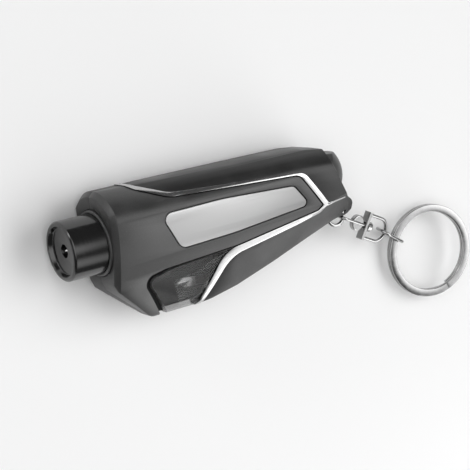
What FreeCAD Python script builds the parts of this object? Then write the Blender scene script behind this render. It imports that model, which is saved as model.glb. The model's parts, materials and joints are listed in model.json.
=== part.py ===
"""Keychain escape tool: spring-loaded glass breaker, belt cutter, pull-off cap and key ring.

Millimetres. The shapes are worked out in tool coordinates and moved to the part's frame on export.
Tool coordinates: +X runs from the nose to the tail with 0 at the body's front face, +Y is the tool's
height with 0 on the plunger's axis, +Z is its thickness with 0 on the joint between the two shells.
"""
import FreeCAD, Part
import math
import os
from FreeCAD import Vector

os.makedirs("parts", exist_ok=True)

# ---- driving dimensions: body ----
REAR_Z = -8.6            # flat rear face, which the tool lies on
ORIGIN_X = 36.0          # the frame's origin along the body, at the middle of the rear face
TOP_Y = 11.8             # top of the body above the plunger's axis
BROAD_Z = 9.82           # half thickness at the crown of the broad faces
SHOULDER_R = 4.0         # blend between each broad face and the rounded top
WALL = 1.5               # cap and guard wall
FIT = 0.2                # sliding clearance between the cap and the body
SHUT_GAP = 0.3           # dark line between the body and the cap's notch
GROOVE = 0.9             # depth of the groove round the blade guard, down to its seal
FRONT_CHAMFER = 1.15
BODY_END = 60.0          # the shells end here, inside the cap

# ---- driving dimensions: glass breaker ----
NOSE_R = 7.0
NOSE_OUT = 9.24          # how far the nose stands out of the body
STROKE = 8.0             # nose travel
NOSE_SLIDE = 0.08        # radial play of the nose in its bush
FLANGE_R = 7.55          # flange that the bush holds back
FLANGE_END = 3.6
CHAMBER_R = 7.7
CHAMBER_END = FLANGE_END + STROKE + 0.9
BORE_R = 6.5
BUSH_R = 7.75
BUSH_OUT = 0.6           # how far the bush stands out of the body
BUSH_END = 2.0
BUSH_GROOVE = 0.2        # width of the groove round the bush's collar
PIN_R = 1.15
STRIKER_R = 6.2
SPRING_SEAT = 52.0
DOME_R = 8.45

# ---- driving dimensions: belt cutter ----
BLADE_T = 0.5

# ---- driving dimensions: chain ----
RING_R = 12.5            # key ring, outside
RING_BAND = 2.0          # radial width of its strip
RING_T = 1.9             # both turns together
WIRE = 0.9
JUMP_R = 2.55            # jump ring, to the middle of the wire
LUG_PIN_R = 0.55
LUG_HALF = 1.9           # half thickness of the lug


# ---------------------------------------------------------------- outlines

def rounded(points, closed=True):
    """Wire in the XY plane through (x, y, radius) corners; each corner becomes a tangent arc."""
    n = len(points)
    edges = []
    starts = []
    ends = []
    for i, (x, y, r) in enumerate(points):
        here = Vector(x, y, 0)
        if r == 0 or (not closed and i in (0, n - 1)):
            starts.append(here)
            ends.append(here)
            edges.append(None)
            continue
        before = Vector(points[i - 1][0], points[i - 1][1], 0) - here
        after = Vector(points[(i + 1) % n][0], points[(i + 1) % n][1], 0) - here
        half = before.getAngle(after) / 2
        before.normalize()
        after.normalize()
        reach = r / math.tan(half)
        start = here + before * reach
        end = here + after * reach
        middle = (before + after).normalize() * (r / math.sin(half) - r) + here
        starts.append(start)
        ends.append(end)
        edges.append(Part.Arc(start, middle, end).toShape())
    wire = []
    for i in range(n):
        if edges[i] is not None:
            wire.append(edges[i])
        if i == n - 1 and not closed:
            break
        following = starts[(i + 1) % n]
        if (following - ends[i]).Length > 1e-6:
            wire.append(Part.makeLine(ends[i], following))
    return Part.Wire(wire)


def prism(wire, low=-20.0, high=20.0):
    """Solid between two Z levels under a closed XY wire."""
    face = Part.Face(wire)
    face.translate(Vector(0, 0, low))
    return face.extrude(Vector(0, 0, high - low))


def inset(points, d):
    """Rounded outline moved in by d, or out where d is negative; the arcs stay concentric."""
    n = len(points)
    area = sum(points[i - 1][0] * points[i][1] - points[i][0] * points[i - 1][1] for i in range(n))
    turn = 1 if area > 0 else -1
    moved = []
    for i, (x, y, r) in enumerate(points):
        ax, ay = points[i - 1][:2]
        bx, by = points[(i + 1) % n][:2]
        u = Vector(x - ax, y - ay, 0).normalize()
        w = Vector(bx - x, by - y, 0).normalize()
        normal_u = Vector(-u.y, u.x, 0) * turn
        normal_w = Vector(-w.y, w.x, 0) * turn
        shift = (normal_u + normal_w) * (d / (1 + normal_u.dot(normal_w)))
        convex = u.cross(w).z * turn > 0
        radius = r - d if convex else r + d
        moved.append((x + shift.x, y + shift.y, max(radius, 0) if r else 0))
    return moved


def box(x0, x1, y0, y1, z0, z1):
    return Part.makeBox(x1 - x0, y1 - y0, z1 - z0, Vector(x0, y0, z0))


def rod(x0, x1, r, y=0.0):
    """Cylinder along X."""
    return Part.makeCylinder(r, x1 - x0, Vector(x0, y, 0), Vector(1, 0, 0))


def post(x, y, z0, z1, r):
    """Cylinder along Z."""
    return Part.makeCylinder(r, z1 - z0, Vector(x, y, z0))


def turned(points):
    """Solid of revolution about X through (x, r) corners."""
    wire = Part.makePolygon([Vector(x, r, 0) for x, r in points + points[:1]])
    return Part.Face(wire).revolve(Vector(0, 0, 0), Vector(1, 0, 0), 360)


# ---------------------------------------------------------------- outer form

PROFILE = [(0, -10.5, 0), (0, TOP_Y, 0), (56, 10.9, 40), (64.6, 9.7, 2.5), (70.0, -3.0, 2), (72.4, -5.4, 1.4),
           (71.0, -8.6, 1.6), (66.0, -8.6, 8), (46.0, -15.0, 60), (25.0, -20.2, 16), (10.6, -20.2, 3.5)]
OPEN_PROFILE = PROFILE[:2] + [(56, 10.9, 40), (82, 8.7, 0), (82, -8.6, 0)] + PROFILE[7:]


def circle_through(a, b, c):
    """Centre and radius of the circle through three points of the XY plane."""
    arc = Part.Arc(a, b, c).toShape().Curve
    return arc.Center, arc.Radius


def section_face(d):
    """Cross-section of the tool moved in by d: crowned on both broad faces and thin along the belly."""
    top = Vector(TOP_Y, 1.5, 0)
    shoulder = Vector(6.2, BROAD_Z, 0)
    corner_centre, corner_r = circle_through(top, Vector(10.1, 6.2, 0), shoulder)
    broad_centre, broad_r = circle_through(shoulder, Vector(-7.4, 7.55, 0), Vector(-19.6, 1.9, 0))

    gap = broad_centre - corner_centre
    from_corner = corner_r - SHOULDER_R
    reach = (from_corner ** 2 - (broad_r - SHOULDER_R) ** 2 + gap.Length ** 2) / (2 * gap.Length)
    along = Vector(gap).normalize()
    aside = math.sqrt(from_corner ** 2 - reach ** 2)
    blend = corner_centre + along * reach + Vector(-along.y, along.x, 0) * aside

    def on_broad(z):
        return broad_centre.x - math.sqrt((broad_r - d) ** 2 - (z - broad_centre.y) ** 2)

    edge_z = max(1.9 - d, 0.3)
    start = Vector(TOP_Y - d, 1.5, 0)
    middle = corner_centre + (Vector(10.1, 6.2, 0) - corner_centre).normalize() * (corner_r - d)
    blend_top = corner_centre + (blend - corner_centre).normalize() * (corner_r - d)
    blend_end = broad_centre + (blend - broad_centre).normalize() * (broad_r - d)
    blend_middle = blend + ((blend_top + blend_end) * 0.5 - blend).normalize() * (SHOULDER_R - d)
    flank = broad_centre + (Vector(-7.4, 7.55, 0) - broad_centre).normalize() * (broad_r - d)
    belly = Vector(on_broad(edge_z), edge_z, 0)
    tip = Vector(belly.x - 1.2 * min(edge_z, 1.0), 0, 0)
    edges = []
    for side in (1, -1):
        stops = (start, middle, blend_top, blend_middle, blend_end, flank, belly)
        a, b, c, e, f, g, h = [Vector(p.x, p.y * side, 0) for p in stops]
        edges.append(Part.makeLine(Vector(TOP_Y - d, 0, 0), a))
        edges.append(Part.Arc(a, b, c).toShape())
        edges.append(Part.Arc(c, e, f).toShape())
        edges.append(Part.Arc(f, g, h).toShape())
        edges.append(Part.makeLine(h, tip))
    return Part.Face(Part.Wire(Part.__sortEdges__(edges)))


def section_prism(d, x0, x1):
    """The cross-section drawn out along X."""
    face = section_face(d)
    turn = FreeCAD.Matrix(0, 0, 1, x0, 1, 0, 0, 0, 0, 1, 0, 0, 0, 0, 0, 1)
    return face.transformed(turn).extrude(Vector(x1 - x0, 0, 0))


# (x, crease y, crease z, belly y, belly z) along the tail: below the crease each broad face turns steeper
BEVEL = [(24.0, -11.0, 7.4, -20.0, 3.4), (40.0, -7.8, 7.5, -16.6, 2.4), (54.0, -4.95, 8.3, -12.6, 1.9),
         (60.0, -3.0, 8.75, -10.8, 1.9), (78.0, -1.9, 9.05, -5.4, 1.9)]


def bevel_cutter(d, side):
    """What the steeper tail face below the crease takes off one broad face."""
    wires = []
    for x, yc, zc, yb, zb in BEVEL:
        along = Vector(0, yb - yc, zb - zc)
        along.normalize()
        inward = Vector(0, -along.z, along.y)
        crease = Vector(x, yc, zc) + inward * d - along * 2.0
        belly = Vector(x, yb, zb) + inward * d + along * 8.0
        corner = Vector(x, -40, 30)
        ring = [Vector(p.x, p.y, p.z * side) for p in (crease, belly, corner)]
        wires.append(Part.makePolygon(ring + ring[:1]))
    return Part.makeLoft(wires, True, False)


TAIL_ROUND = 22.0        # the tail end is rounded in plan to this radius
TAIL_POINT = Vector(65.9, 2.6, 0)
TAIL_SLOPE = Vector(4.7, -11.0, 0)


def tail_keep(d):
    """Keeps what lies ahead of the tail end, which is rounded in plan and leans back downwards."""
    along = Vector(TAIL_SLOPE)
    along.normalize()
    out = Vector(-along.y, along.x, 0)
    r = TAIL_ROUND - d
    axis = TAIL_POINT - out * TAIL_ROUND
    half_disc = Part.makeCylinder(r, 80, axis - along * 40, along)
    high = axis + along * 40
    low = axis - along * 40
    half = Vector(0, 0, r)
    slab = Part.Wire(Part.makePolygon([high - half, high + half, low + half, low - half, high - half]))
    body = Part.Face(slab).extrude(out * -110)
    return half_disc.fuse(body)


def outer(d=0.0, rear=None, open_tail=False):
    """The tool's outer form moved in by d all over."""
    points = OPEN_PROFILE if open_tail else PROFILE
    form = prism(rounded(inset(points, d)), -15, 15).common(section_prism(d, -1, 84))
    low = REAR_Z + d if rear is None else rear
    form = form.common(box(-2, 84, -25, 15, low, 15))
    if not open_tail:
        form = form.common(tail_keep(d).fuse(box(60, 80, -12, -3, -LUG_HALF, LUG_HALF)))
    for side in (1, -1):
        form = form.cut(bevel_cutter(d, side))
    return form


# ---------------------------------------------------------------- lines on the broad faces

# edge of the cap round its notch, and the inner edge of the bright trim that lines it
CAP_EDGE = [(5.6, 17.0, 0), (9.4, 11.8, 4), (16.5, 8.9, 9), (52.9, 6.4, 4), (60.0, -2.95, 0.3),
            (57.5, -4.9, 1.5), (31.1, -9.7, 8), (21.8, -24.5, 0)]
TRIM_EDGE = [(4.7, 17.0, 0), (8.7, 11.2, 4), (15.9, 8.05, 9), (51.6, 6.0, 3), (58.4, -2.9, 0.4),
             (56.7, -4.1, 1.5), (29.4, -8.05, 7), (20.7, -24.5, 0)]
GUARD_EDGE = [(17.8, -24.5, 0), (8.6, -10.4, 1.6), (15.0, -8.85, 9), (33.0, -7.6, 0), (40.0, -24.5, 0)]
RECESS_EDGE = [(15.6, -24.5, 0), (6.7, -9.6, 2.2), (13.0, -8.3, 8), (36.5, -7.0, 0), (42.0, -24.5, 0)]
THROAT = [(46.0, -9.2, 0), (24.0, -11.2, 6), (16.4, -12.6, 1.6), (18.6, -15.5, 1.2), (30.2, -16.3, 0.6),
          (32.2, -21.0, 0), (46.0, -21.0, 0)]
BLADE = [(19.1, -14.5, 0), (21.1, -13.4, 0.4), (29.8, -14.3, 0.4), (29.8, -16.9, 0), (23.6, -15.9, 0),
         (21.0, -15.6, 0), (22.9, -14.4, 0.1), (20.5, -14.5, 0)]
INLAY = [(12.5, 4.55, 1.6), (29.0, 4.75, 60), (49.6, 3.55, 2.2), (54.0, -1.85, 1.0), (32.0, -3.85, 60),
         (17.4, -4.35, 2.6)]


def tail_side(edge, gap=0.0):
    """Everything on the tail side of a notch edge, grown by gap."""
    return prism(rounded(inset(edge + [(90.0, edge[-1][1], 0), (90.0, edge[0][1], 0)], -gap)))


# ---------------------------------------------------------------- glass breaker

def nose_plunger():
    """Sleeve with a recessed face, a hole for the pin and a flange that keeps it in the body."""
    front = -NOSE_OUT
    return turned([(front, NOSE_R - 1.1), (front, NOSE_R - 0.45), (front + 0.45, NOSE_R),
                   (BUSH_END + 0.1, NOSE_R), (BUSH_END + 0.1, FLANGE_R), (FLANGE_END, FLANGE_R),
                   (FLANGE_END, 5.2), (-6.4, 5.2), (-6.4, PIN_R + 0.4), (front + 1.1, PIN_R + 0.4),
                   (front + 1.1, NOSE_R - 1.5)])


def nose_bush():
    """Ring pressed into the front of the body: guides the nose and stops its flange."""
    bore = NOSE_R + NOSE_SLIDE
    return turned([(-BUSH_OUT, bore), (-BUSH_OUT, BUSH_R - 0.25), (0.25 - BUSH_OUT, BUSH_R),
                   (BUSH_END, BUSH_R), (BUSH_END, bore)])


def punch_pin():
    """Hardened pin with a spring collar; its tip is a separate carbide point."""
    return turned([(-6.0, 0), (-6.0, PIN_R), (5.0, PIN_R), (5.0, 3.4), (6.2, 3.4), (6.2, 0)])


def carbide_tip():
    return turned([(-7.9, 0), (-7.9, 0.12), (-6.6, 0.95), (-6.0, 0.95), (-6.0, 0)])


def helix_spring(x0, length, mean_r, wire_r, turns):
    """Coil of round wire along X."""
    pitch = (length - 2 * wire_r) / turns
    path = Part.makeHelix(pitch, length - 2 * wire_r, mean_r)
    start = Vector(mean_r, 0, 0)
    lean = Vector(0, 2 * math.pi * mean_r, pitch)
    section = Part.Wire(Part.makeCircle(wire_r, start, lean))
    coil = Part.Wire(path).makePipeShell([section], True, True)
    coil.rotate(Vector(0, 0, 0), Vector(0, 1, 0), 90)
    coil.translate(Vector(x0 + wire_r, 0, 0))
    return coil


def trip_sleeve():
    """Hollow collar between the pin and the striker: it lets the striker go at the end of the stroke."""
    return turned([(6.3, 1.5), (6.3, 4.9), (9.6, 4.9), (9.6, 2.3), (7.4, 2.3), (7.4, 1.5)])


def striker():
    return turned([(7.6, 0), (7.6, 2.0), (9.9, 2.0), (9.9, STRIKER_R - 0.4), (10.3, STRIKER_R),
                   (23.6, STRIKER_R), (24.0, STRIKER_R - 0.4), (24.0, 3.4), (27.5, 3.4), (27.5, 0)])


def spring_plug():
    """End plug that seats the main spring; its domed end shows through the open end of the cap."""
    dome = outer(WALL + FIT + 0.1, open_tail=True)
    dome = dome.common(Part.makeSphere(DOME_R, Vector(61.1, 3.3, 0)))
    dome = dome.common(box(BODY_END + 0.1, 80, -1.9, 15, -15, 15))
    seat = rod(SPRING_SEAT, BODY_END + 0.2, BORE_R - 0.05).cut(box(50, 61, -10, -6.0, -10, 10))
    return seat.fuse(dome).removeSplitter()


# ---------------------------------------------------------------- body

SCREWS = [(4.9, -9.9, -5.6), (46.0, -8.2, -3.6), (44.0, 8.2, -4.1)]     # x, y and level of the head
SCREW_HEAD_R = 1.35
SCREW_R = 0.8
SCREW_TOP = 3.4
INLAY_T = 0.6
INLAY_GAP = 0.35


def body():
    """Both shells as one solid, before they are parted."""
    full = outer()
    front_edges = [e for e in full.Edges if e.BoundBox.XMax < 0.01]
    full = full.makeChamfer(FRONT_CHAMFER, front_edges)
    full = full.cut(tail_side(TRIM_EDGE, SHUT_GAP)).cut(prism(rounded(RECESS_EDGE)))
    core = outer(WALL + FIT).common(box(0.5, BODY_END, -25, 15, -15, 15))
    shape = full.fuse(core)
    skin = outer(-1.0).cut(outer(INLAY_T))
    cuts = [rod(-1, 0.4, BUSH_R + BUSH_GROOVE), rod(-1, BUSH_END, BUSH_R),
            rod(BUSH_END - 0.1, CHAMBER_END, CHAMBER_R), rod(CHAMBER_END - 0.1, BODY_END + 1, BORE_R),
            prism(rounded(THROAT)), skin.common(prism(rounded(inset(INLAY, -INLAY_GAP)))), belt_blade()]
    for x, y, seat in SCREWS:
        cuts.append(post(x, y, -15, seat + 1.0, SCREW_HEAD_R + 0.1))
        cuts.append(post(x, y, seat, SCREW_TOP, SCREW_R))
    for cut in cuts:
        shape = shape.cut(cut)
    return shape.removeSplitter()


def inlay(low, high):
    """Thin plate that follows a broad face; low and high pick the face."""
    return outer().cut(outer(INLAY_T)).common(prism(rounded(INLAY), low, high))


def body_screws():
    screws = []
    for x, y, seat in SCREWS:
        head = post(x, y, seat, seat + 0.9, SCREW_HEAD_R)
        slot = box(x - 1, x + 1, y - 0.15, y + 0.15, seat - 0.1, seat + 0.45)
        cross = box(x - 0.15, x + 0.15, y - 1, y + 1, seat - 0.1, seat + 0.45)
        shank = post(x, y, seat + 0.9, SCREW_TOP, SCREW_R)
        screws.append(head.fuse(shank).cut(slot).cut(cross))
    return Part.makeCompound(screws)


# ---------------------------------------------------------------- cap

def cap():
    """Sheath that pulls off the tail. Its notch widens towards the nose on both broad faces."""
    shell = outer().cut(outer(WALL).common(box(-2, BODY_END + 0.5, -25, 15, -15, 15)))
    through = outer(WALL, open_tail=True).common(box(BODY_END, 90, -2.0, 15, -15, 15))
    shell = shell.cut(through)
    shell = shell.common(tail_side(TRIM_EDGE))
    shell = shell.cut(trim_band(-0.5, 1.1))
    shell = shell.cut(box(63.2, 80, -14, -4.3, -0.75, 0.75))
    shell = shell.cut(post(LUG_PIN.x, LUG_PIN.y, -3, 3, LUG_PIN_R))
    return shell


def trim_band(outside, inside):
    band = outer(outside, rear=REAR_Z - (1.0 if outside < -0.3 else 0.0)).cut(outer(inside))
    return band.common(tail_side(TRIM_EDGE)).cut(tail_side(CAP_EDGE))


def chrome_trim():
    return trim_band(-0.15, 1.1)


def blade_guard():
    """Clear wrap-round guard that covers the blade while the cap is on."""
    shell = outer(0.05).cut(outer(WALL))
    return shell.common(prism(rounded(GUARD_EDGE))).cut(tail_side(TRIM_EDGE))


def guard_seal():
    """Soft black strip on the floor of the groove round the blade guard."""
    strip = outer(GROOVE).cut(outer(WALL + FIT)).common(prism(rounded(RECESS_EDGE)))
    return strip.cut(prism(rounded(inset(GUARD_EDGE, -FIT)))).cut(tail_side(TRIM_EDGE, SHUT_GAP))


def belt_blade():
    return prism(rounded(BLADE), -BLADE_T / 2, BLADE_T / 2)


# ---------------------------------------------------------------- chain

LUG_PIN = Vector(68.79, -7.42, 0)
JUMP_CENTRE = Vector(67.76, -8.44, 0)
EYE_POINT = Vector(70.04, -9.58, 0)          # the swivel's eye hangs on the jump ring here
BOW_POINT = Vector(85.55, -17.2, -3.75)       # middle of the yoke's bow, where the link hangs
RING_CENTRE = Vector(100.3, -25.6, -4.55)
RING_NORMAL = Vector(-0.144, -0.006, 1.0)
RING_RISE = Vector(1.0, 0, 0.144)            # direction in the ring's plane that angles are counted from
HOLD_ANGLE = math.radians(150.5)             # where the link holds the ring
VIEW = Vector(-0.60, 0.20, 0.77)             # the links stand on edge along this direction


def frame_of(along, up):
    """Unit vectors along, side and up of a chain piece."""
    x = Vector(along)
    x.normalize()
    z = up - x * up.dot(x)
    z.normalize()
    return x, z.cross(x), z


def place(shape, origin, x, y, z):
    """Moves a shape from its own axes to the given ones."""
    m = FreeCAD.Matrix(x.x, y.x, z.x, origin.x, x.y, y.y, z.y, origin.y, x.z, y.z, z.z, origin.z, 0, 0, 0, 1)
    return shape.transformed(m)


def oval(length, width, wire):
    """Closed wire link in its own XY plane, from x = 0 to length, outside to outside."""
    r = (width - wire) / 2
    a = wire / 2 + r
    b = length - wire / 2 - r
    bars = [Part.makeCylinder(wire / 2, b - a, Vector(a, s * r, 0), Vector(1, 0, 0)) for s in (1, -1)]
    near = Part.makeTorus(r, wire / 2, Vector(a, 0, 0), Vector(0, 0, 1)).common(box(a - 9, a, -9, 9, -9, 9))
    far = Part.makeTorus(r, wire / 2, Vector(b, 0, 0), Vector(0, 0, 1)).common(box(b, b + 9, -9, 9, -9, 9))
    shape = near.fuse([far] + bars)
    return shape.removeSplitter()


def jump_ring():
    return Part.makeTorus(JUMP_R, WIRE / 2, JUMP_CENTRE, Vector(0, 0, 1))


def lug_pin():
    return post(LUG_PIN.x, LUG_PIN.y, -LUG_HALF, LUG_HALF, LUG_PIN_R)


SWIVEL_X, SWIVEL_Y, SWIVEL_Z = frame_of(BOW_POINT - EYE_POINT, VIEW)
SWIVEL_LENGTH = (BOW_POINT - EYE_POINT).Length
PLATE_S = 9.0            # the yoke's plate, along the swivel from the eye
YOKE_HALF = 3.1
BARREL_S = 5.7
BARREL_T = 1.36
EYE_WIRE = 0.75
RIVET_R = 0.75


def swivel_eye():
    """Oval eye, standing on edge, brazed to the barrel."""
    start = -(WIRE / 2 + 0.12 + EYE_WIRE)
    shape = oval(PLATE_S - 0.7 - start, BARREL_T + 2 * EYE_WIRE + 0.04, EYE_WIRE)
    shape.rotate(Vector(0, 0, 0), Vector(1, 0, 0), 90)
    shape.translate(Vector(start, 0, 0))
    shape = shape.cut(rod(3.0, PLATE_S, RIVET_R))
    return place(shape, EYE_POINT, SWIVEL_X, SWIVEL_Y, SWIVEL_Z)


def swivel_barrel():
    """Flat round boss with the rivet that the yoke turns on."""
    disc = Part.makeCylinder(2.1, BARREL_T, Vector(BARREL_S, 0, -BARREL_T / 2))
    disc = disc.makeFillet(0.3, [e for e in disc.Edges if e.Length > 10])
    shank = rod(BARREL_S + 1.6, PLATE_S + 1.0, RIVET_R - 0.01)
    head = rod(PLATE_S + 0.55, PLATE_S + 2.2, 1.35)
    head = head.makeFillet(0.5, [e for e in head.Edges if e.BoundBox.XMin > PLATE_S + 2.1])
    shape = disc.fuse([shank, head]).removeSplitter()
    return place(shape, EYE_POINT, SWIVEL_X, SWIVEL_Y, SWIVEL_Z)


def swivel_yoke():
    """Bent wire bow closed by a plate with a hole for the rivet."""
    centre = SWIVEL_LENGTH - YOKE_HALF
    foot = [Vector(PLATE_S, side * YOKE_HALF, 0) for side in (-1, 1)]
    bend = [Vector(centre, side * YOKE_HALF, 0) for side in (-1, 1)]
    arc = Part.Arc(bend[0], Vector(SWIVEL_LENGTH, 0, 0), bend[1]).toShape()
    path = Part.Wire([Part.makeLine(foot[0], bend[0]), arc, Part.makeLine(bend[1], foot[1])])
    bow = path.makePipeShell([Part.Wire(Part.makeCircle(WIRE / 2, foot[0], Vector(1, 0, 0)))], True, True)
    reach = YOKE_HALF + WIRE / 2 + 0.15
    plate = box(PLATE_S - 0.45, PLATE_S + 0.45, -reach, reach, -1.0, 1.0)
    plate = plate.cut(rod(PLATE_S - 2, PLATE_S + 2, RIVET_R + 0.1))
    shape = bow.fuse(plate)
    return place(shape, EYE_POINT, SWIVEL_X, SWIVEL_Y, SWIVEL_Z)


RING_X, RING_Y, RING_Z = frame_of(RING_RISE, RING_NORMAL)
HOLD_WAY = RING_X * math.cos(HOLD_ANGLE) + RING_Y * math.sin(HOLD_ANGLE)
HOLD_POINT = RING_CENTRE + HOLD_WAY * (RING_R - RING_BAND / 2)
LINK_NEAR = 2.6          # how far the link reaches past the yoke's bow, and past the ring's strip
LINK_FAR = 3.0


def connecting_link():
    """Oval link on edge: round the yoke's bow at one end and the key ring at the other."""
    x, y, z = frame_of(HOLD_POINT - BOW_POINT, VIEW)
    length = LINK_NEAR + (HOLD_POINT - BOW_POINT).Length + LINK_FAR
    shape = oval(length, 4.9, 0.85)
    shape.rotate(Vector(0, 0, 0), Vector(1, 0, 0), 90)
    return place(shape, BOW_POINT - x * LINK_NEAR, x, y, z)


def key_ring():
    """Split ring: flat strip in two turns, parted by a fine gap."""
    shape = Part.makeCylinder(RING_R, RING_T, Vector(0, 0, -RING_T / 2))
    shape = shape.cut(Part.makeCylinder(RING_R - RING_BAND, RING_T + 2, Vector(0, 0, -RING_T / 2 - 1)))
    shape = shape.makeFillet(0.3, [e for e in shape.Edges if e.Length > 20])
    return place(shape, RING_CENTRE, RING_X, RING_Y, RING_Z)


# ---------------------------------------------------------------- export

def save(name, shape):
    moved = shape.copy()
    moved.translate(Vector(-ORIGIN_X, 0, -REAR_Z))
    solids = moved.Solids
    moved = solids[0] if len(solids) == 1 else Part.makeCompound(solids)
    moved.exportStep("parts/" + name + ".step")
    b = moved.BoundBox
    print("%-16s solids %d valid %s vol %8.1f  x %6.1f..%6.1f y %6.1f..%6.1f z %5.1f..%5.1f" % (
        name, len(solids), moved.isValid(), moved.Volume, b.XMin, b.XMax, b.YMin, b.YMax, b.ZMin, b.ZMax))


both = body()
save("front_shell", both.common(box(-20, 90, -30, 20, 0, 20)))
save("rear_shell", both.common(box(-20, 90, -30, 20, -20, 0)))
save("body_screws", body_screws())
save("nose_bush", nose_bush())
save("nose_plunger", nose_plunger())
save("punch_pin", punch_pin())
save("carbide_tip", carbide_tip())
save("return_spring", helix_spring(-6.3, 11.2, 2.6, 0.3, 7))
save("trip_sleeve", trip_sleeve())
save("striker", striker())
save("main_spring", helix_spring(24.05, SPRING_SEAT - 24.1, 4.9, 0.65, 9))
save("spring_plug", spring_plug())
save("front_inlay", inlay(0, 15))
save("rear_inlay", inlay(-15, 0))
save("guard_seal", guard_seal())
save("belt_blade", belt_blade())
save("cap", cap())
save("chrome_trim", chrome_trim())
save("blade_guard", blade_guard())
save("lug_pin", lug_pin())
save("jump_ring", jump_ring())
save("swivel_eye", swivel_eye())
save("swivel_barrel", swivel_barrel())
save("swivel_yoke", swivel_yoke())
save("connecting_link", connecting_link())
save("key_ring", key_ring())
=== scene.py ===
"""Looks of the keychain escape tool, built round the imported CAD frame. Metres, in the part's frame."""
import json
import math

import bmesh
import bpy
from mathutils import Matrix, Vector
from mathutils.bvhtree import BVHTree


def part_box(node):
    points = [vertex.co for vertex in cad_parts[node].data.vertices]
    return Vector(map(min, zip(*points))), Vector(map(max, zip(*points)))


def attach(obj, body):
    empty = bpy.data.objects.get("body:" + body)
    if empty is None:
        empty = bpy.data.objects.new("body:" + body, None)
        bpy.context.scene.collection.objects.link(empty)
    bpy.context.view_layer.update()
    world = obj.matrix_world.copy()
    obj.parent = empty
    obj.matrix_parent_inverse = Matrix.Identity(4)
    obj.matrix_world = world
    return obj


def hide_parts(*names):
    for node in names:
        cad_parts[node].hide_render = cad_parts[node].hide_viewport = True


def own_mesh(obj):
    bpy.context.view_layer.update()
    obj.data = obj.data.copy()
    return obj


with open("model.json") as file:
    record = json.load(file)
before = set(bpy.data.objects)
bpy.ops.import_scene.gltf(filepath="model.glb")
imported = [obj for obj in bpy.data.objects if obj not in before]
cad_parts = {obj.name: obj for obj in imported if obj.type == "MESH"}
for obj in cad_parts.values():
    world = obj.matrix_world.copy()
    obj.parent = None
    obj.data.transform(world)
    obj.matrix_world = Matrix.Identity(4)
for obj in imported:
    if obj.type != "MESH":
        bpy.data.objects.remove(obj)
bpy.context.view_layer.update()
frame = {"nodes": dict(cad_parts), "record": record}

MM = 0.001
NODES = frame["nodes"]
MOUNTS = {mount["name"]: mount for mount in frame["record"]["mounts"]}
SLOT_OF = {part["node"]: part["material_slot"] for part in frame["record"]["subparts"]}
BODY_OF = {node: body for body, nodes in frame["record"]["behaviour"]["bodies"].items() for node in nodes}


# ---------------------------------------------------------------- materials

EVEN = (1.0, 1.0, 1.0)       # noise that is not stretched
FINE = 0.00002               # usual depth of a bump, metres


class Shader:
    """A node material being built up."""

    def __init__(self, name):
        self.material = bpy.data.materials.new(name)
        self.material.use_nodes = True
        self.tree = self.material.node_tree
        self.principled = self.tree.nodes["Principled BSDF"]

    def set(self, **values):
        for key, value in values.items():
            self.principled.inputs[key].default_value = value

    def node(self, kind, **settings):
        made = self.tree.nodes.new(kind)
        for key, value in settings.items():
            if key in made.inputs:
                made.inputs[key].default_value = value
            else:
                setattr(made, key, value)
        return made

    def link(self, source, target):
        self.tree.links.new(source, target)

    def coords(self, stretch=EVEN):
        """Object coordinates, stretched; the objects sit at the origin, so these are metres."""
        place = self.node("ShaderNodeTexCoord")
        mapping = self.node("ShaderNodeMapping")
        mapping.inputs["Scale"].default_value = stretch
        self.link(place.outputs["Object"], mapping.inputs["Vector"])
        return mapping.outputs["Vector"]

    def noise(self, scale, detail=4.0, roughness=0.6, stretch=EVEN):
        made = self.node("ShaderNodeTexNoise", Scale=scale, Detail=detail, Roughness=roughness)
        self.link(self.coords(stretch), made.inputs["Vector"])
        return made.outputs["Fac"]

    def along(self, direction, start, end):
        """0 to 1 factor between two distances in metres along a direction."""
        dot = self.node("ShaderNodeVectorMath", operation="DOT_PRODUCT")
        dot.inputs[1].default_value = direction
        self.link(self.coords(), dot.inputs[0])
        return self.ramp(dot.outputs["Value"], 0.0, 1.0, start, end)

    def ramp(self, source, low, high, start=0.0, end=1.0):
        """Maps a factor to a range, between start and end of the factor."""
        made = self.node("ShaderNodeMapRange", interpolation_type="SMOOTHSTEP")
        made.inputs["From Min"].default_value = start
        made.inputs["From Max"].default_value = end
        made.inputs["To Min"].default_value = low
        made.inputs["To Max"].default_value = high
        self.link(source, made.inputs["Value"])
        return made.outputs["Result"]

    def blend(self, source, low, high):
        """Colour between low and high by a factor; either may be a socket."""
        made = self.node("ShaderNodeMix", data_type="RGBA")
        for name, colour in (("A", low), ("B", high)):
            socket = next(s for s in made.inputs if s.name == name and s.type == "RGBA")
            if isinstance(colour, tuple):
                socket.default_value = (*colour, 1.0)
            else:
                self.link(colour, socket)
        self.link(source, made.inputs["Factor"])
        return next(s for s in made.outputs if s.type == "RGBA")

    def bump(self, source, strength, distance):
        made = self.node("ShaderNodeBump", Strength=strength, Distance=distance)
        self.link(source, made.inputs["Height"])
        self.link(made.outputs["Normal"], self.principled.inputs["Normal"])

    def feed(self, source, name):
        self.link(source, self.principled.inputs[name])


def grey(level):
    return (level, level, level)


def moulded_plastic(name, dark, light, rough, grain, index=1.44):
    """Spark-textured moulding: fine pitted grain, faint clouds and a few rubbed patches."""
    s = Shader(name)
    s.set(IOR=index)
    clouds = s.noise(110.0, detail=3.0)
    specks = s.noise(3600.0, detail=2.0, roughness=0.5)
    base = s.blend(s.ramp(clouds, 0.0, 1.0, 0.35, 0.65), grey(dark), grey(light))
    s.feed(s.blend(s.ramp(specks, 0.0, 0.5, 0.5, 0.8), base, grey(light * 1.7)), "Base Color")
    s.feed(s.ramp(clouds, rough - 0.04, rough + 0.06, 0.3, 0.7), "Roughness")
    s.bump(specks, grain, 0.00005)
    return s.material


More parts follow.
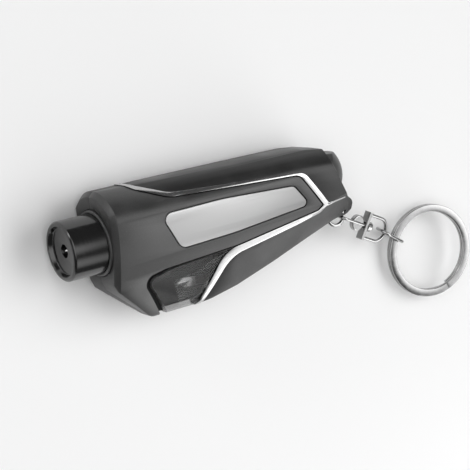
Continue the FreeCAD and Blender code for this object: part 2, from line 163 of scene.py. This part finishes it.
def polished_black(name, level, rough):
    """Turned and polished black nose: faint lathe rings round its axis."""
    s = Shader(name)
    s.set(IOR=1.75)
    rings = s.noise(2600.0, detail=2.0, stretch=(1.0, 0.02, 0.02))
    s.feed(s.blend(rings, grey(level), grey(level * 1.6)), "Base Color")
    s.feed(s.ramp(rings, rough, rough + 0.08), "Roughness")
    s.bump(rings, 0.05, FINE)
    return s.material


def plated_metal(name, dark, light, rough):
    """Bright plating with fine handling marks."""
    s = Shader(name)
    s.set(Metallic=1.0)
    wear = s.noise(600.0, detail=5.0, roughness=0.7)
    marks = s.noise(3800.0, detail=2.0)
    s.feed(s.blend(s.ramp(wear, 0.0, 1.0, 0.35, 0.65), grey(dark), grey(light)), "Base Color")
    s.feed(s.ramp(wear, rough, rough + 0.07, 0.3, 0.7), "Roughness")
    s.bump(marks, 0.06, 0.00001)
    return s.material


def brushed_metal(name, dark, light, rough, stretch):
    """Metal with drawn grain along one way."""
    s = Shader(name)
    s.set(Metallic=1.0)
    grain = s.noise(1800.0, detail=5.0, roughness=0.7, stretch=stretch)
    s.feed(s.blend(s.ramp(grain, 0.0, 1.0, 0.3, 0.7), grey(dark), grey(light)), "Base Color")
    s.feed(s.ramp(grain, rough - 0.04, rough + 0.08, 0.3, 0.7), "Roughness")
    s.bump(grain, 0.15, FINE)
    return s.material


def satin_plate(name, light, dark, rough):
    """Satin plate with painted shading: a painted highlight at the nose's top edge fades to painted shade at
    the tail's lower one.
    """
    s = Shader(name)
    s.set(Metallic=0.5)
    low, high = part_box("front_inlay")
    way = Vector((0.55, -0.83, 0.0))                     # in the plate's plane, mostly down
    start = low.x * way.x + high.y * way.y
    end = high.x * way.x + low.y * way.y
    # painted light and shade: base colour runs from lit to dim across the plate
    painted_shading = s.along(way, start, end)
    grain = s.noise(1600.0, detail=4.0, stretch=(0.05, 1.0, 1.0))
    lit = s.blend(grain, grey(light * 0.97), grey(light))
    dim = s.blend(grain, grey(dark * 0.95), grey(dark))
    s.feed(s.blend(painted_shading, lit, dim), "Base Color")
    s.feed(s.ramp(grain, rough - 0.03, rough + 0.06, 0.3, 0.7), "Roughness")
    s.bump(grain, 0.1, FINE)
    return s.material


def smoked_clear(name):
    s = Shader(name)
    s.set(IOR=1.49, Alpha=0.34)
    clouds = s.noise(120.0, detail=2.0)
    s.feed(s.blend(clouds, grey(0.008), grey(0.014)), "Base Color")
    s.feed(s.ramp(clouds, 0.03, 0.08), "Roughness")
    s.bump(clouds, 0.02, FINE)
    return s.material


def painted_edge_highlight(name):
    """Painted highlight for the clear guard's cut edges: a lighter colour that stands in for the light they
    catch.
    """
    s = Shader(name)
    s.set(IOR=1.49)
    haze = s.noise(500.0, detail=3.0)
    # painted highlight: edge colour much lighter than the smoked guard
    s.feed(s.blend(haze, grey(0.1), grey(0.2)), "Base Color")
    s.feed(s.ramp(haze, 0.2, 0.35), "Roughness")
    s.bump(haze, 0.05, FINE)
    return s.material


def soft_rubber(name):
    s = Shader(name)
    s.set(IOR=1.3)
    clouds = s.noise(900.0, detail=3.0)
    s.feed(s.blend(clouds, grey(0.003), grey(0.006)), "Base Color")
    s.feed(s.ramp(clouds, 0.7, 0.85), "Roughness")
    s.bump(clouds, 0.1, 0.00003)
    return s.material


MATERIALS = {
    "seal_black": soft_rubber("seal_black"),
    "body_plastic": moulded_plastic("body_plastic", 0.026, 0.034, 0.4, 0.35, 1.6),
    "cap_plastic": moulded_plastic("cap_plastic", 0.014, 0.02, 0.38, 0.3),
    "nose_plastic": polished_black("nose_plastic", 0.004, 0.12),
    "chrome_trim": plated_metal("chrome_trim", 0.48, 0.54, 0.14),
    # inlay plate: painted shading, light at the nose's top edge to dark at the tail's lower one
    "inlay_silver": satin_plate("inlay_silver", 0.62, 0.26, 0.42),
    "guard_smoke": smoked_clear("guard_smoke"),
    "blade_steel": brushed_metal("blade_steel", 0.8, 0.95, 0.3, (1.0, 0.05, 1.0)),
    "tool_steel": brushed_metal("tool_steel", 0.42, 0.52, 0.3, (1.0, 0.1, 0.1)),
    "carbide": brushed_metal("carbide", 0.6, 0.75, 0.2, (1.0, 0.3, 0.3)),
    "spring_steel": plated_metal("spring_steel", 0.45, 0.55, 0.28),
    "screw_black": plated_metal("screw_black", 0.05, 0.08, 0.35),
    "chain_nickel": plated_metal("chain_nickel", 0.36, 0.41, 0.11),
}


def dress_frame():
    """Every CAD node gets the finish of its material slot."""
    for node, slot in SLOT_OF.items():
        mesh = NODES[node].data
        mesh.materials.clear()
        mesh.materials.append(MATERIALS[slot])


dress_frame()


# ---------------------------------------------------------------- meshes

SMOOTH_BELOW = math.radians(32)      # edges flatter than this are shaded smooth
BEVEL_ABOVE = math.radians(28)       # edges sharper than this are broken
FLAT_BELOW = math.radians(0.6)       # faces flatter than this are joined before the bevel
WELD = 0.002 * MM                    # vertices closer than this are one
CAD_SHADING = ("custom_normal", "sharp_edge", "sharp_face")
# bevel width in mm and number of segments of each node that gets a finished copy
EDGES = {"front_shell": (0.12, 2), "rear_shell": (0.12, 2), "cap": (0.15, 2), "chrome_trim": (0.12, 2),
         "blade_guard": (0.2, 2), "nose_plunger": (0.15, 3), "nose_bush": (0.1, 2),
         "front_inlay": (0.12, 2), "rear_inlay": (0.12, 2), "spring_plug": (0.15, 2)}


def add_piece(name, mesh, body, slot, *nodes):
    """New object that rides on a body, takes a slot's finish and stands for CAD nodes."""
    piece = bpy.data.objects.new(name, mesh)
    bpy.context.collection.objects.link(piece)
    mesh.materials.clear()
    mesh.materials.append(MATERIALS[slot])
    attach(piece, body)
    if nodes:
        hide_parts(*nodes)
    return piece


def bake_modifiers(piece):
    """Replaces a piece's mesh by what its modifiers make of it."""
    depsgraph = bpy.context.evaluated_depsgraph_get()
    finished = bpy.data.meshes.new_from_object(piece.evaluated_get(depsgraph))
    piece.modifiers.clear()
    piece.data = finished


def softened(node, edge, segments):
    """Copy of a CAD node with its edges broken as moulding and finishing leave them."""
    mesh = NODES[node].data.copy()
    mesh.name = node + "_finished"
    work = bmesh.new()
    work.from_mesh(mesh)
    bmesh.ops.remove_doubles(work, verts=work.verts, dist=WELD)
    bmesh.ops.dissolve_limit(work, angle_limit=FLAT_BELOW, verts=work.verts, edges=work.edges)
    work.to_mesh(mesh)
    work.free()
    for name in CAD_SHADING:
        if name in mesh.attributes:
            mesh.attributes.remove(mesh.attributes[name])
    piece = add_piece(node + "_finished", mesh, BODY_OF[node], SLOT_OF[node], node)
    bevel = piece.modifiers.new("edges", "BEVEL")
    bevel.width = edge * MM
    bevel.segments = segments
    bevel.limit_method = "ANGLE"
    bevel.angle_limit = BEVEL_ABOVE
    bevel.use_clamp_overlap = True
    bevel.miter_outer = "MITER_ARC"
    bake_modifiers(piece)
    piece.data.polygons.foreach_set("use_smooth", [True] * len(piece.data.polygons))
    piece.data.set_sharp_from_angle(angle=SMOOTH_BELOW)
    return piece


FINISHED = {node: softened(node, *edge) for node, edge in EDGES.items()}


def paint_guard_edge_highlight():
    """The guard's nose-side and upper cut edges get the painted highlight colour."""
    mesh = FINISHED["blade_guard"].data
    mesh.materials.append(painted_edge_highlight("guard_edge"))
    for face in mesh.polygons:
        upright = abs(face.normal.z) < 0.5               # not one of the two broad faces
        # only edges facing the nose side and upwards, where the light falls, get the painted highlight
        if upright and (face.normal.x < -0.45 or face.normal.y > 0.75):
            face.material_index = 1


paint_guard_edge_highlight()


# ---------------------------------------------------------------- springs


def coil(node):
    """Copy of a spring's CAD mesh, with sharp edges marked by angle, riding on the spring's body in place of
    the node.
    """
    mesh = NODES[node].data.copy()
    mesh.name = node + "_coil"
    piece = add_piece(node + "_coil", mesh, BODY_OF[node], SLOT_OF[node], node)
    piece.data.set_sharp_from_angle(angle=SMOOTH_BELOW)
    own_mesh(piece)


coil("main_spring")
coil("return_spring")


# ---------------------------------------------------------------- bright line on the cap

def crease_line():
    """Thin plated line, tapering from the trim's lower tail corner along the crease to the cap's end."""
    cap_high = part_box("cap")[1]
    trim_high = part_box("chrome_trim")[1]
    start = Vector((trim_high.x - 0.25 * MM, -3.1 * MM))    # under the trim's lower tail corner
    end = Vector((cap_high.x - 6.4 * MM, -2.62 * MM))       # where the crease runs out
    half_start, half_end = 0.42 * MM, 0.2 * MM
    depth, proud = 0.12 * MM, 0.05 * MM
    cap_mesh = FINISHED["cap"].data
    tree = BVHTree.FromPolygons([v.co for v in cap_mesh.vertices],
                                [tuple(p.vertices) for p in cap_mesh.polygons])
    across = Vector((end.y - start.y, start.x - end.x)).normalized()
    work = bmesh.new()
    rings = []
    steps = 24
    for i in range(steps + 1):
        k = i / steps
        centre = start.lerp(end, k)
        half = half_start + (half_end - half_start) * k
        ring = []
        for side, lift in ((-1, -depth), (-0.8, proud), (0.8, proud), (1, -depth)):
            spot = centre + across * half * side
            hit = tree.ray_cast(Vector((spot.x, spot.y, cap_high.z + MM)), Vector((0, 0, -1)))[0]
            ring.append(work.verts.new(hit + Vector((0, 0, lift))))
        rings.append(ring)
    for a, b in zip(rings, rings[1:]):
        for k in range(4):
            n = (k + 1) % 4
            work.faces.new((a[k], a[n], b[n], b[k]))
    work.faces.new(rings[0])
    work.faces.new(list(reversed(rings[-1])))
    bmesh.ops.recalc_face_normals(work, faces=work.faces)
    mesh = bpy.data.meshes.new("crease_line")
    work.to_mesh(mesh)
    work.free()
    add_piece("crease_line", mesh, BODY_OF["cap"], "chrome_trim")


crease_line()


# ---------------------------------------------------------------- key ring

def split_ring():
    """Flat strip wound in two turns that lie on each other, with a jog where one climbs over the other."""
    axis = Vector(MOUNTS["ring_opening"]["axis"]).normalized()
    centre = Vector(MOUNTS["ring_opening"]["pos_m"])
    points = [Vector(v.co) - centre for v in NODES["key_ring"].data.vertices]
    radii = [(p - axis * p.dot(axis)).length for p in points]
    levels = [p.dot(axis) for p in points]
    outside, inside = max(radii), min(radii)
    turn = (max(levels) - min(levels)) / 2
    split = 0.06 * MM                                   # gap between the turns
    thick = turn - split / 2
    width = outside - inside
    corner = 0.22 * MM
    steps_round = 6
    section = []
    for quarter, (cx, cz) in enumerate(((1, 1), (-1, 1), (-1, -1), (1, -1))):
        for k in range(steps_round + 1):
            a = math.radians(90 * quarter + 90 * k / steps_round)
            section.append((cx * (width / 2 - corner) + corner * math.cos(a),
                            cz * (thick / 2 - corner) + corner * math.sin(a)))
    start = math.radians(-66)                           # where the strip's upper end shows
    jog = math.radians(34)
    total = 4 * math.pi - math.radians(3)
    steps = 300
    side = (Vector((1, 0, 0)) - axis * axis.x).normalized()
    up = axis.cross(side)
    middle = (outside + inside) / 2
    work = bmesh.new()
    rings = []
    for i in range(steps + 1):
        a = total * i / steps
        climb = min(max((a - (2 * math.pi - jog)) / jog, 0.0), 1.0)
        eased = 3 * climb ** 2 - 2 * climb ** 3
        level = (turn - thick / 2) * (2 * eased - 1)
        turned = start + a
        out = side * math.cos(turned) + up * math.sin(turned)
        rings.append([work.verts.new(centre + out * (middle + u) + axis * (level + w)) for u, w in section])
    for a, b in zip(rings, rings[1:]):
        for k in range(len(section)):
            n = (k + 1) % len(section)
            work.faces.new((a[k], a[n], b[n], b[k]))
    work.faces.new(rings[0])
    work.faces.new(list(reversed(rings[-1])))
    bmesh.ops.recalc_face_normals(work, faces=work.faces)
    mesh = bpy.data.meshes.new("split_ring")
    work.to_mesh(mesh)
    work.free()
    mesh.polygons.foreach_set("use_smooth", [True] * len(mesh.polygons))
    mesh.set_sharp_from_angle(angle=math.radians(40))
    add_piece("split_ring", mesh, BODY_OF["key_ring"], "chain_nickel", "key_ring")


split_ring()


# ---------------------------------------------------------------- studio

FLOOR_SIZE = 3.0
CAMERA_AT = Vector((-187.065, 65.529, 309.963)) * MM
CAMERA_TURN = (-6.446, -33.251, -9.306)      # degrees about X, Y and Z
LENS = 114.9
SENSOR = 36.0
SKY = 0.11                                   # level of the room round the soft boxes
# (direction, inner and outer half angle in degrees, brightness) of each soft light in the room
SOFT_LIGHTS = [((0.66, 0.06, 0.75), 14.0, 31.0, 3.0),
               ((0.55, -0.6, 0.58), 8.0, 27.0, 1.6),
               ((-0.45, 0.22, 0.87), 14.0, 44.0, 1.5),
               ((-0.7, 0.7, 0.12), 3.0, 15.0, 4.0)]
LOW_BOX_AT = Vector((160, -212, 58)) * MM     # small soft box at the belly side, close to the floor
LOW_BOX_SIZE = (150 * MM, 110 * MM)
LOW_BOX_POWER = 0.12
AIM = Vector((8.0, -6.0, 14.0)) * MM


def floor():
    s = Shader("studio_floor")
    clouds = s.noise(2.0, detail=2.0)
    s.feed(s.blend(clouds, grey(0.9), grey(0.92)), "Base Color")
    s.feed(s.ramp(clouds, 0.85, 0.9), "Roughness")
    bpy.ops.mesh.primitive_plane_add(size=FLOOR_SIZE, location=(0, 0, 0))
    plane = bpy.context.object
    plane.name = "studio_floor"
    plane.data.materials.append(s.material)


def room():
    """World light: a grey room with soft boxes, each fading out round its direction."""
    world = bpy.data.worlds.new("studio")
    world.use_nodes = True
    tree = world.node_tree
    place = tree.nodes.new("ShaderNodeTexCoord")
    total = None
    for direction, inner, outer_angle, level in SOFT_LIGHTS:
        dot = tree.nodes.new("ShaderNodeVectorMath")
        dot.operation = "DOT_PRODUCT"
        dot.inputs[1].default_value = Vector(direction).normalized()
        tree.links.new(place.outputs["Generated"], dot.inputs[0])
        fade = tree.nodes.new("ShaderNodeMapRange")
        fade.interpolation_type = "SMOOTHSTEP"
        fade.inputs["From Min"].default_value = math.cos(math.radians(outer_angle))
        fade.inputs["From Max"].default_value = math.cos(math.radians(inner))
        fade.inputs["To Max"].default_value = level
        tree.links.new(dot.outputs["Value"], fade.inputs["Value"])
        add = tree.nodes.new("ShaderNodeMath")
        add.inputs[1].default_value = SKY
        tree.links.new(fade.outputs["Result"], add.inputs[0])
        if total is not None:
            tree.links.new(total, add.inputs[1])
        total = add.outputs["Value"]
    background = tree.nodes["Background"]
    tree.links.new(total, background.inputs["Strength"])
    background.inputs["Color"].default_value = (1.0, 1.0, 1.0, 1.0)
    bpy.context.scene.world = world


def low_box():
    data = bpy.data.lights.new("low_box", "AREA")
    data.shape = "RECTANGLE"
    data.size, data.size_y = LOW_BOX_SIZE
    data.energy = LOW_BOX_POWER
    made = bpy.data.objects.new("low_box", data)
    made.location = LOW_BOX_AT
    made.rotation_euler = (AIM - LOW_BOX_AT).to_track_quat("-Z", "Y").to_euler()
    bpy.context.collection.objects.link(made)


def camera():
    data = bpy.data.cameras.new("camera")
    data.lens = LENS
    data.sensor_width = SENSOR
    data.clip_start = 0.01
    made = bpy.data.objects.new("camera", data)
    made.location = CAMERA_AT
    made.rotation_euler = [math.radians(a) for a in CAMERA_TURN]
    bpy.context.collection.objects.link(made)
    bpy.context.scene.camera = made


floor()
room()
low_box()
camera()
bpy.context.scene.view_settings.view_transform = "Standard"
